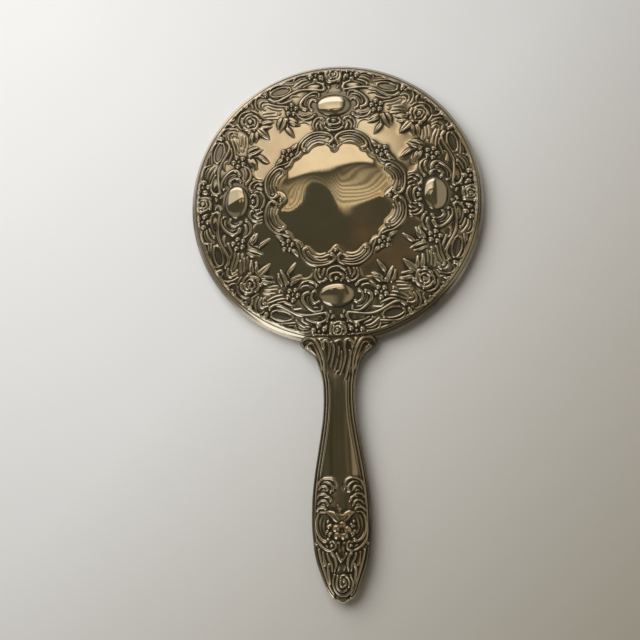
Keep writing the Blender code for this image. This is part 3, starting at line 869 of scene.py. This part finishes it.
def drawFeatherScrolls(sheet):
    ridge(sheet, [(2.0, -126.2), (1.9, -124.2), (3.0, -122.6), (5.0, -122.0), (7.2, -122.4),
                  (9.2, -124.4), (9.9, -128.0), (10.1, -133.0)], 0.52, 0.72, (1.0, 0.5))
    ridge(sheet, [(3.3, -127.2), (3.2, -125.6), (4.4, -124.2), (6.2, -123.4), (7.6, -124.0)],
          0.44, 0.66, (1.5, 0.6))
    bump(sheet, 4.0, -127.6, 0.62, 0.62, 0.85)
    ridge(sheet, [(8.9, -126.6), (7.6, -125.4), (6.2, -125.5), (5.3, -126.8)], 0.52, 0.80, (0.6, 1.1))
    ridge(sheet, [(7.9, -127.4), (7.0, -126.8), (6.2, -127.5)], 0.36, 0.60, (0.8, 1.1))
    ridge(sheet, [(9.7, -130.0), (8.5, -128.7), (6.9, -128.4), (5.8, -129.0)], 0.54, 0.75, (0.6, 0.9))
    ridge(sheet, [(7.0, -129.8), (5.5, -129.5), (4.4, -130.2), (4.0, -131.2)], 0.48, 0.80, (0.6, 1.2))
    ridge(sheet, [(9.4, -132.6), (8.2, -131.3), (6.8, -131.1), (5.7, -131.9), (5.2, -133.0)],
          0.52, 0.82, (0.6, 1.0))
    ridge(sheet, [(8.2, -133.2), (7.2, -132.7), (6.4, -133.3)], 0.36, 0.60, (0.8, 1.1))
    ridge(sheet, [(9.9, -135.4), (8.8, -134.2), (7.3, -133.9), (6.1, -134.6)], 0.60, 0.90, (0.7, 0.9))


def drawLowerScrolls(sheet):
    ridge(sheet, [(6.4, -135.8), (8.6, -136.0), (9.8, -138.2), (10.0, -141.4), (9.3, -144.6),
                  (7.7, -147.0), (6.2, -147.5), (5.4, -146.9)], 0.52, 0.78, (0.6, 1.3))
    ridge(sheet, [(7.4, -137.2), (8.4, -139.2), (8.5, -142.0), (7.7, -144.6), (6.3, -145.8)], 0.40, 0.52)
    ridge(sheet, [(6.3, -138.2), (7.1, -140.2), (7.1, -142.6), (6.2, -144.4)], 0.36, 0.48, (0.6, 1.2))
    ridge(sheet, [(10.4, -139.4), (10.6, -143.0), (9.9, -146.6), (8.2, -149.4), (6.0, -151.0),
                  (4.2, -151.3), (2.7, -150.5), (2.3, -149.0), (3.1, -147.8), (4.6, -147.9)],
          0.50, 0.78, (0.4, 0.8))
    bump(sheet, 3.9, -149.3, 0.7, 0.7, 0.95)
    ridge(sheet, [(6.6, -148.9), (5.4, -149.8)], 0.36, 0.50)
    for x, y, size in ((5.3, -139.6, 0.6), (5.2, -141.6, 0.65), (5.6, -143.5, 0.6), (4.7, -145.2, 0.6),
                       (1.3, -148.3, 0.5)):
        bump(sheet, x, y, size, size, 0.8)


def drawHandleBlossoms(sheet):
    # an open blossom under two broad leaves and a thin one; drawn once across the middle
    leaf(sheet, [(-1.0, -139.4), (-3.2, -136.9), (-6.2, -135.6)], 1.55, 0.62)
    leaf(sheet, [(1.2, -139.2), (3.0, -136.8), (5.6, -135.8)], 1.65, 0.62)
    leaf(sheet, [(0.1, -139.0), (-0.4, -136.0), (-1.5, -132.9)], 0.75, 0.58)
    flower(sheet, 0.2, -143.5, 3.8, 0.66, 1.45, 0.46)
    for x, y, lean in ((-4.6, -141.6, 0.9), (4.6, -141.4, -0.9), (-4.5, -144.6, 0.4), (4.6, -144.3, -0.4)):
        bump(sheet, x, y, 1.35, 0.75, 0.55, lean)
    ridge(sheet, [(-0.9, -149.0), (-0.8, -150.8), (-0.6, -152.2)], 0.36, 0.7)
    ridge(sheet, [(0.6, -149.0), (0.7, -150.8), (0.9, -152.4)], 0.36, 0.7)


def drawHandleTip(sheet):
    ridge(sheet, edgeLine(150.2, 170.2, 0.60, 12), 0.56, 0.90, (0.8, 0.8))
    ridge(sheet, [(10.6, -148.4), (10.4, -148.5)], 0.62, 0.90)
    ridge(sheet, [(9.3, -150.8), (8.4, -154.8), (7.2, -158.8), (5.9, -162.8), (4.9, -166.0),
                  (3.4, -168.6)], 0.58, 1.0, (0.7, 0.7))
    ridge(sheet, [(7.6, -151.8), (7.2, -154.4), (6.7, -156.8)], 0.52, 0.95, (0.6, 1.5))
    ridge(sheet, [(5.2, -156.8), (5.6, -159.0), (5.2, -162.0), (4.7, -164.6)], 0.52, 1.05, (1.1, 0.6))
    ridge(sheet, [(5.9, -152.4), (5.2, -154.6), (4.1, -156.8), (3.9, -159.4)], 0.50, 0.95, (0.8, 0.5))
    ridge(sheet, [(3.9, -152.4), (2.8, -154.2), (2.3, -157.0), (2.9, -159.4)], 0.50, 0.95, (1.3, 0.5))
    ridge(sheet, [(2.0, -152.6), (1.1, -154.2), (0.1, -155.8)], 0.46, 0.95, (1.0, 0.7))
    ridge(sheet, [(1.2, -157.4), (1.1, -159.0)], 0.42, 0.8)


def drawTipBud(sheet):
    # the rosebud: petals folded one inside the next
    bump(sheet, 0.2, -164.8, 3.6, 4.2, 0.55, roundness=0.6)
    ridge(sheet, [(-3.1, -160.8), (-3.7, -163.6), (-3.0, -166.6), (-1.0, -168.7), (1.6, -168.7),
                  (3.6, -166.6), (4.1, -163.4), (3.4, -161.0)], 0.56, 1.35, (0.7, 0.7))
    ridge(sheet, [(-1.8, -161.2), (-2.3, -164.2), (-1.7, -166.3), (-0.1, -167.3), (1.4, -166.8)],
          0.50, 1.55, (0.7, 0.9))
    ridge(sheet, [(2.7, -165.6), (2.8, -163.4), (2.0, -161.6), (0.5, -161.0), (-0.6, -161.6)],
          0.46, 1.55, (0.8, 0.7))
    ridge(sheet, [(-0.7, -163.2), (-0.7, -164.8), (0.3, -165.7), (1.3, -165.0)], 0.42, 1.8, (0.8, 0.8))
    ridge(sheet, [(0.6, -162.8), (1.2, -163.6)], 0.40, 1.7)


def drawHandle():
    mirrored = newSheet(-20, 20, -175, -58, backOrnament["pitch"])
    single = newSheet(-20, 20, -175, -58, backOrnament["pitch"])
    for draw in (drawHandleEdges, drawShoulder, drawFeatherScrolls, drawLowerScrolls, drawHandleTip):
        draw(mirrored)
    for draw in (drawNeckLeaf, drawHandleBlossoms, drawTipBud):
        draw(single)
    both = np.maximum(mirrored["height"], mirrored["height"][:, ::-1])
    both = np.maximum(both, single["height"])
    crowded = blurred((both > backOrnament["drawn"]).astype(float), 1.0 / single["pitch"])
    soft = blurred(both + handleShape["body"] * crowded, handleShape["softness"] / single["pitch"])
    return dict(single, height=soft)


def handleSurface(side):
    # the plain half before stamping: its places along, across and up from the parting line
    shape = handleShape
    t = np.linspace(0, 1, shape["along"])
    # the rows crowd a little towards the head
    distance = shape["start"] + (handleEnd - shape["start"]) * (t - 0.012 * np.sin(math.pi * t))
    halfWidth = stationValues(shape["halfWidths"], distance)[:, None]
    if side > 0:
        rise = stationValues(shape["tops"], distance) - shape["parting"]
    else:
        rise = shape["parting"] - stationValues(shape["bottoms"], distance)
    u = np.linspace(-1, 1, shape["across"])
    angle = math.pi / 2 * (1 - np.sign(u) * np.abs(u) ** 0.9)
    power = 2 / shape["power"]
    unitX = np.sign(np.cos(angle)) * np.abs(np.cos(angle)) ** power
    unitZ = np.abs(np.sin(angle)) ** power
    x = halfWidth * unitX[None, :]
    y = -np.repeat(distance[:, None], shape["across"], 1)
    return np.stack([x, y, rise[:, None] * unitZ[None, :]], -1), distance, halfWidth, unitZ


def outwardNormals(base):
    normal = np.cross(np.gradient(base, axis=0), np.gradient(base, axis=1))
    normal /= np.linalg.norm(normal, axis=2)[:, :, None] + 1e-9
    rows, columns = base.shape[:2]
    return -normal if normal[rows // 2, columns // 2, 2] < 0 else normal


def lapOverRim(outer, inner):
    # the shoulder laps over the rim and the edge of the back
    lap = handleShape["lapRadius"]
    r = np.hypot(outer[:, :, 0], outer[:, :, 1])
    past = np.clip(r - (headRadius - rimSection["arcRadius"]), 0, lap)
    overRim = rimSection["arcHeight"] + np.sqrt(np.clip(lap ** 2 - past ** 2, 0, None))
    lowest = np.where(r < headRadius + 0.1, overRim - handleShape["parting"], 0)
    outer[:, :, 2] = np.maximum(outer[:, :, 2], np.maximum(lowest, 0))
    inner[:, :, 2] = np.minimum(np.maximum(inner[:, :, 2], lowest - 0.05), outer[:, :, 2] - 0.02)


def handlePoints(surface, side):
    height = handleShape["parting"] + side * (surface[..., 2] + 0.02)
    places = [headX + surface[..., 0] * mm, headY + surface[..., 1] * mm, height * mm]
    return np.stack(places, -1).reshape(-1, 3)


def buildHandleHalf(name, node, side, sheet, recessGrid):
    # side is 1 for the half that faces up with the stamped back, -1 for the half round the glass side
    shape = handleShape
    across, along = shape["across"], shape["along"]
    base, distance, halfWidth, unitZ = handleSurface(side)
    x, y = base[:, :, 0], base[:, :, 1]
    normal = outwardNormals(base)
    relief = sampled(sheet, sheet["height"], x, y) * np.clip(unitZ * 2.2, 0, 1)[None, :]
    channel = np.clip(1 - (x / np.maximum(halfWidth - shape["channelSide"], 1.0)) ** 2, 0, 1)
    channel *= fade(distance, *shape["channelStart"])[:, None]
    channel *= 1 - fade(distance, *shape["channelEnd"])[:, None]
    relief -= shape["channelDepth"] * channel
    outer = base + normal * relief[:, :, None] * shape["reliefShare"]
    inner = base - normal * shape["thickness"]
    for surface in (inner, outer):
        surface[:, :, 2] = np.clip(surface[:, :, 2], 0, None)
    if side > 0:
        lapOverRim(outer, inner)
    faces = gridFaces(along, across)
    ring = borderRing(along, across)
    nextRing = np.roll(ring, -1)
    wall = np.stack([ring, nextRing, nextRing + along * across, ring + along * across], -1)
    quads = np.concatenate([faces, (faces + along * across)[:, ::-1], wall[:, ::-1]])
    if side > 0:
        quads = quads[:, ::-1]
    points = np.concatenate([handlePoints(outer, side), handlePoints(inner, side)])
    piece = meshPiece(name, points, quads)
    recess = sampled(sheet, recessGrid, x, y)
    start, width, grimeAndShade = shape["lapDarkening"]
    recess = np.maximum(recess, np.clip((start - distance) / width, 0, 1)[:, None] * grimeAndShade)
    # painted shade low down on both sides of the handle
    start, width, grimeAndShade = shape["sideShade"]
    recess = np.maximum(recess, np.clip((start - unitZ) / width, 0, grimeAndShade)[None, :])
    addRecess(piece, np.concatenate([recess.ravel(), np.zeros(along * across)]))
    piece.data.materials.append(antiquedSilver(name + "Silver", streaked=True))
    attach(piece, "root")
    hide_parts(node)


handleSheet = drawHandle()
handleRecess = recessFrom(handleSheet["height"], handleSheet["pitch"])
buildHandleHalf("stampedHandleBack", "handle_back", 1, handleSheet, handleRecess)
buildHandleHalf("stampedHandleFront", "handle_front", -1, handleSheet, handleRecess)
print("handle built")


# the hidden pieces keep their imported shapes

hiddenFinishes = {
    "cardFinish": {
        "nodes": ["backing_card"],
        "light": (0.46, 0.40, 0.31), "dark": (0.30, 0.25, 0.19),
        "scale": 700.0, "stretch": (1, 0.3, 1), "rough": (0.8, 0.95), "metallic": 0.0, "lift": 0.00008,
    },
    "feltFinish": {
        "nodes": ["felt_pad"],
        "light": (0.33, 0.26, 0.20), "dark": (0.18, 0.14, 0.11),
        "scale": 1400.0, "stretch": (1, 1, 1), "rough": (0.9, 1.0), "metallic": 0.0, "lift": 0.0003,
    },
    "frameFinish": {
        "nodes": ["frame_ring"],
        "light": (0.62, 0.47, 0.22), "dark": (0.36, 0.25, 0.11),
        "scale": 180.0, "stretch": (1, 1, 1), "rough": (0.3, 0.55), "metallic": 1.0, "lift": 0.00008,
    },
    "tangFinish": {
        "nodes": ["tang"],
        "light": (0.50, 0.50, 0.50), "dark": (0.30, 0.29, 0.28),
        "scale": 500.0, "stretch": (1, 0.06, 1), "rough": (0.35, 0.55), "metallic": 1.0, "lift": 0.00008,
    },
    "rivetFinish": {
        "nodes": ["tang_rivet_left", "tang_rivet_right"],
        "light": (0.56, 0.56, 0.57), "dark": (0.38, 0.37, 0.36),
        "scale": 400.0, "stretch": (1, 1, 1), "rough": (0.3, 0.45), "metallic": 1.0, "lift": 0.00008,
    },
    "fillerFinish": {
        "nodes": ["handle_filler"],
        "light": (0.76, 0.72, 0.64), "dark": (0.60, 0.55, 0.47),
        "scale": 220.0, "stretch": (1, 1, 1), "rough": (0.8, 0.95), "metallic": 0.0, "lift": 0.0002,
    },
}


def hiddenFinish(name, look):
    material, nodes, links, shader = newFinish(name)
    place = nodes.new("ShaderNodeTexCoord").outputs["Object"]
    noise = noiseNode(nodes, links, place, look["scale"], 6.0, 0.6, look["stretch"])
    mottle = spread(nodes, links, noise, 0.3, 0.7)
    links.new(mixColour(nodes, links, mottle, look["light"], look["dark"]), shader.inputs["Base Color"])
    links.new(spread(nodes, links, noise, 0.3, 0.7, *look["rough"]), shader.inputs["Roughness"])
    shader.inputs["Metallic"].default_value = look["metallic"]
    bumpFrom(nodes, links, shader, noise, 0.4, look["lift"])
    return material


for finishName, look in hiddenFinishes.items():
    finish = hiddenFinish(finishName, look)
    for node in look["nodes"]:
        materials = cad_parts[node].data.materials
        materials.clear()
        materials.append(finish)
print("hidden pieces finished")


# floor, light and camera

paper = {
    "half": 0.5,
    "drop": 0.00005,                # how far it lies under the mirror, so that they share no plane
    "colour": (0.86, 0.855, 0.84),
    "shade": (0.56, 0.525, 0.44),   # painted shade: the colour it darkens to towards the near right corner, where the light falls off
    "shadeFrom": -0.03,
    "shadeTo": 0.175,
    "rough": 0.85,
    "specular": 0.2,
}


def buildFloor():
    edge, low = paper["half"], -paper["drop"]
    points = [(-edge, -edge, low), (edge, -edge, low), (edge, edge, low), (-edge, edge, low)]
    floor = meshPiece("paperFloor", points, [(0, 1, 2, 3)], False)
    material, nodes, links, shader = newFinish("paperFinish")
    place = nodes.new("ShaderNodeTexCoord").outputs["Object"]
    fibres = noiseNode(nodes, links, place, 14.0, 6.0, 0.55)
    colour = mixColour(nodes, links, fibres, paper["colour"], tuple(c * 0.96 for c in paper["colour"]))
    axes = nodes.new("ShaderNodeSeparateXYZ")
    links.new(place, axes.inputs[0])
    # painted shade: the paper darkens towards the near right corner, as if the light fell off there
    corner = combine(nodes, links, "SUBTRACT", axes.outputs[0], axes.outputs[1])
    corner = combine(nodes, links, "MULTIPLY", corner, 0.707)
    paintedFalloff = spread(nodes, links, corner, paper["shadeFrom"], paper["shadeTo"])
    links.new(mixColour(nodes, links, paintedFalloff, colour, paper["shade"]), shader.inputs["Base Color"])
    shader.inputs["Roughness"].default_value = paper["rough"]
    shader.inputs["Specular IOR Level"].default_value = paper["specular"]
    floor.data.materials.append(material)


softKey = {"place": (-0.21, 0.20, 0.40), "size": 0.50, "power": 2.45, "colour": (0.98, 0.99, 1.0)}


def buildKey():
    lamp = bpy.data.lights.new("softKey", "AREA")
    lamp.shape = "SQUARE"
    lamp.size = softKey["size"]
    lamp.energy = softKey["power"]
    lamp.color = softKey["colour"]
    key = bpy.data.objects.new("softKey", lamp)
    key.location = softKey["place"]
    key.rotation_euler = (Vector((0, 0, 0)) - key.location).to_track_quat("-Z", "Y").to_euler()
    key.visible_glossy = False
    key.visible_camera = False
    bpy.context.scene.collection.objects.link(key)


windowSill = math.sin(math.radians(24.2))    # it starts this many degrees from straight up

# The room that the silver reflects. Each patch runs over a range of the direction's x and y, with
# how soft its edges are. Here y grows towards the head's far side. A pair of numbers is where a
# change starts and where it is complete.
room = {
    "window": {"colour": (0.93, 0.77, 0.54), "x": (-0.66, 0.075, 0.05), "y": (windowSill, 0.92, 0.004)},
    "windowFar": {"colour": (0.62, 0.545, 0.43), "x": (-0.13, -0.26), "y": (0.44, 0.60)},
    "skylight": {"colour": (1.25, 1.16, 1.0), "x": (-0.66, 0.10, 0.06), "y": (0.66, 0.90, 0.03)},
    "sideWindow": {"colour": (0.25, 0.215, 0.15), "x": (0.22, 0.85, 0.03), "y": (-0.10, 0.75, 0.10)},
    "lowLight": {"colour": (1.15, 1.12, 1.05), "x": (-0.72, -0.30, 0.04), "y": (-0.86, -0.40, 0.05)},
    "sill": {"from": 0.07, "slope": 0.26},     # the window's lower edge drops away on the left
    "curtain": {
        "colour": (0.70, 0.55, 0.33),
        "x": (-0.26, 0.085, 0.03),
        "under": (0.008, 0.052),               # how far under the window's edge it starts
        "parting": (-0.125, -0.070, 0.025),
        "partingShare": 0.42,
        "middle": 0.045,                       # the swags meet here, and each has its own width
        "swags": (47.0, 18.6),
        "swagDepth": 0.034,
        "hem": (0.331, 0.338),
        "folds": 470.0,
        "foldShade": (-0.7, 0.5, 0.34, 1.0),
    },
    "walls": {"bright": (0.30, 0.27, 0.215), "dim": (0.085, 0.075, 0.05), "change": (-0.35, 0.55)},
    "overhead": {"colour": (0.064, 0.059, 0.039), "height": (0.66, 0.25)},
    "glow": {
        "colour": (0.17, 0.105, 0.05),
        "share": 0.40,
        "spot": {"x": (-0.030, 0.020, 0.02), "y": (0.20, 0.285, 0.03)},
        "streak": {"x": (0.035, 0.11, 0.02), "y": (-0.30, 0.22, 0.05)},
    },
    "besideHandle": {
        "colour": (0.23, 0.20, 0.135),
        "y": (-0.40, 0.07, 0.04),
        "left": (-0.03, -0.18, 0.0, 0.75),
        "right": (0.04, 0.15),
    },
    "soft": (0.165, 0.148, 0.122),     # what the paper and the tarnish get from the room
    "seen": (0.72, 0.72, 0.71),        # what shows past the paper's edge
}


def buildRoom():
    world = bpy.data.worlds.new("room")
    world.use_nodes = True
    nodes, links = world.node_tree.nodes, world.node_tree.links
    place = nodes.new("ShaderNodeTexCoord").outputs["Generated"]
    axes = nodes.new("ShaderNodeSeparateXYZ")
    links.new(place, axes.inputs[0])
    x, y, z = axes.outputs

    def times(a, b):
        return combine(nodes, links, "MULTIPLY", a, b)

    def plus(a, b, clamp=False):
        return combine(nodes, links, "ADD", a, b, clamp)

    def ramp(value, low, high, outLow=0.0, outHigh=1.0):
        return spread(nodes, links, value, low, high, outLow, outHigh)

    def band(value, low, high, soft):
        return times(ramp(value, low - soft, low + soft), ramp(value, high + soft, high - soft))

    def patch(area):
        return times(band(x, *area["x"]), band(y, *area["y"]))

    def covered(colour, mask, over):
        return mixColour(nodes, links, mask, colour, over)

    edge, sill = room["window"]["y"][0], room["sill"]
    drop = times(combine(nodes, links, "MINIMUM", plus(x, sill["from"]), 0.0), sill["slope"])
    above = combine(nodes, links, "SUBTRACT", y, drop)
    window = times(band(above, *room["window"]["y"]), band(x, *room["window"]["x"]))
    duller = room["windowFar"]
    far = combine(nodes, links, "MAXIMUM", ramp(x, *duller["x"]), ramp(y, *duller["y"]))
    # a curtain just under the window, hanging in two swags of fine folds
    cloth = room["curtain"]
    side = plus(x, cloth["middle"])
    leftSwag, rightSwag = cloth["swags"]
    phase = plus(times(combine(nodes, links, "MINIMUM", side, 0.0), leftSwag),
                 times(combine(nodes, links, "MAXIMUM", side, 0.0), rightSwag))
    hem = plus(times(combine(nodes, links, "COSINE", phase, 0.0), cloth["swagDepth"]), y)
    start, full = cloth["under"]
    curtain = times(ramp(hem, *cloth["hem"]), band(x, *cloth["x"]))
    curtain = times(curtain, ramp(above, edge - start, edge - full))
    curtain = times(curtain, ramp(band(x, *cloth["parting"]), 0.0, 1.0, 1.0, cloth["partingShare"]))
    folds = combine(nodes, links, "SINE", times(hem, cloth["folds"]), 0.0)
    curtain = times(curtain, ramp(folds, *cloth["foldShade"]))
    # walls pale low down and dark overhead, brighter towards the far left
    walls, glowing, beside = room["walls"], room["glow"], room["besideHandle"]
    lit = combine(nodes, links, "SUBTRACT", times(y, 0.7), times(x, 0.7))
    wall = covered(walls["dim"], ramp(lit, *walls["change"]), walls["bright"])
    colour = covered(room["overhead"]["colour"], ramp(z, *room["overhead"]["height"]), wall)
    glow = plus(patch(glowing["spot"]), patch(glowing["streak"]), clamp=True)
    colour = covered(colour, times(glow, glowing["share"]), glowing["colour"])
    sides = times(plus(ramp(x, *beside["left"]), ramp(x, *beside["right"])), band(y, *beside["y"]))
    colour = covered(colour, sides, beside["colour"])
    colour = covered(colour, curtain, cloth["colour"])
    colour = covered(colour, patch(room["sideWindow"]), room["sideWindow"]["colour"])
    colour = covered(colour, window, covered(room["window"]["colour"], far, duller["colour"]))
    for area in (room["skylight"], room["lowLight"]):
        colour = covered(colour, patch(area), area["colour"])
    path = nodes.new("ShaderNodeLightPath")
    colour = covered(colour, path.outputs["Is Diffuse Ray"], room["soft"])
    colour = covered(colour, path.outputs["Is Camera Ray"], room["seen"])
    links.new(colour, nodes["Background"].inputs["Color"])
    bpy.context.scene.world = world
    bpy.context.scene.view_settings.view_transform = "Standard"


cameraPlace = {
    "x": 0.0310, "y": -0.1482, "z": 0.4265,          # metres from the head's middle, and above the paper
    "tilt": -12.51, "lean": -5.45, "roll": 0.78,     # degrees
    "lens": 56.25,
}


def buildCamera():
    lens = bpy.data.cameras.new("camera")
    lens.lens = cameraPlace["lens"]
    lens.sensor_width = 36.0
    camera = bpy.data.objects.new("camera", lens)
    turnX = Euler((math.radians(cameraPlace["tilt"]), 0, 0)).to_matrix()
    turnY = Euler((0, math.radians(cameraPlace["lean"]), 0)).to_matrix()
    turnZ = Euler((0, 0, math.radians(cameraPlace["roll"]))).to_matrix()
    camera.matrix_world = (turnX @ turnY @ turnZ).transposed().to_4x4()
    camera.location = (headX + cameraPlace["x"], headY + cameraPlace["y"], cameraPlace["z"])
    bpy.context.scene.collection.objects.link(camera)
    bpy.context.scene.camera = camera


buildFloor()
buildKey()
buildRoom()
buildCamera()
print("floor, light and camera ready")

bpy.context.view_layer.update()
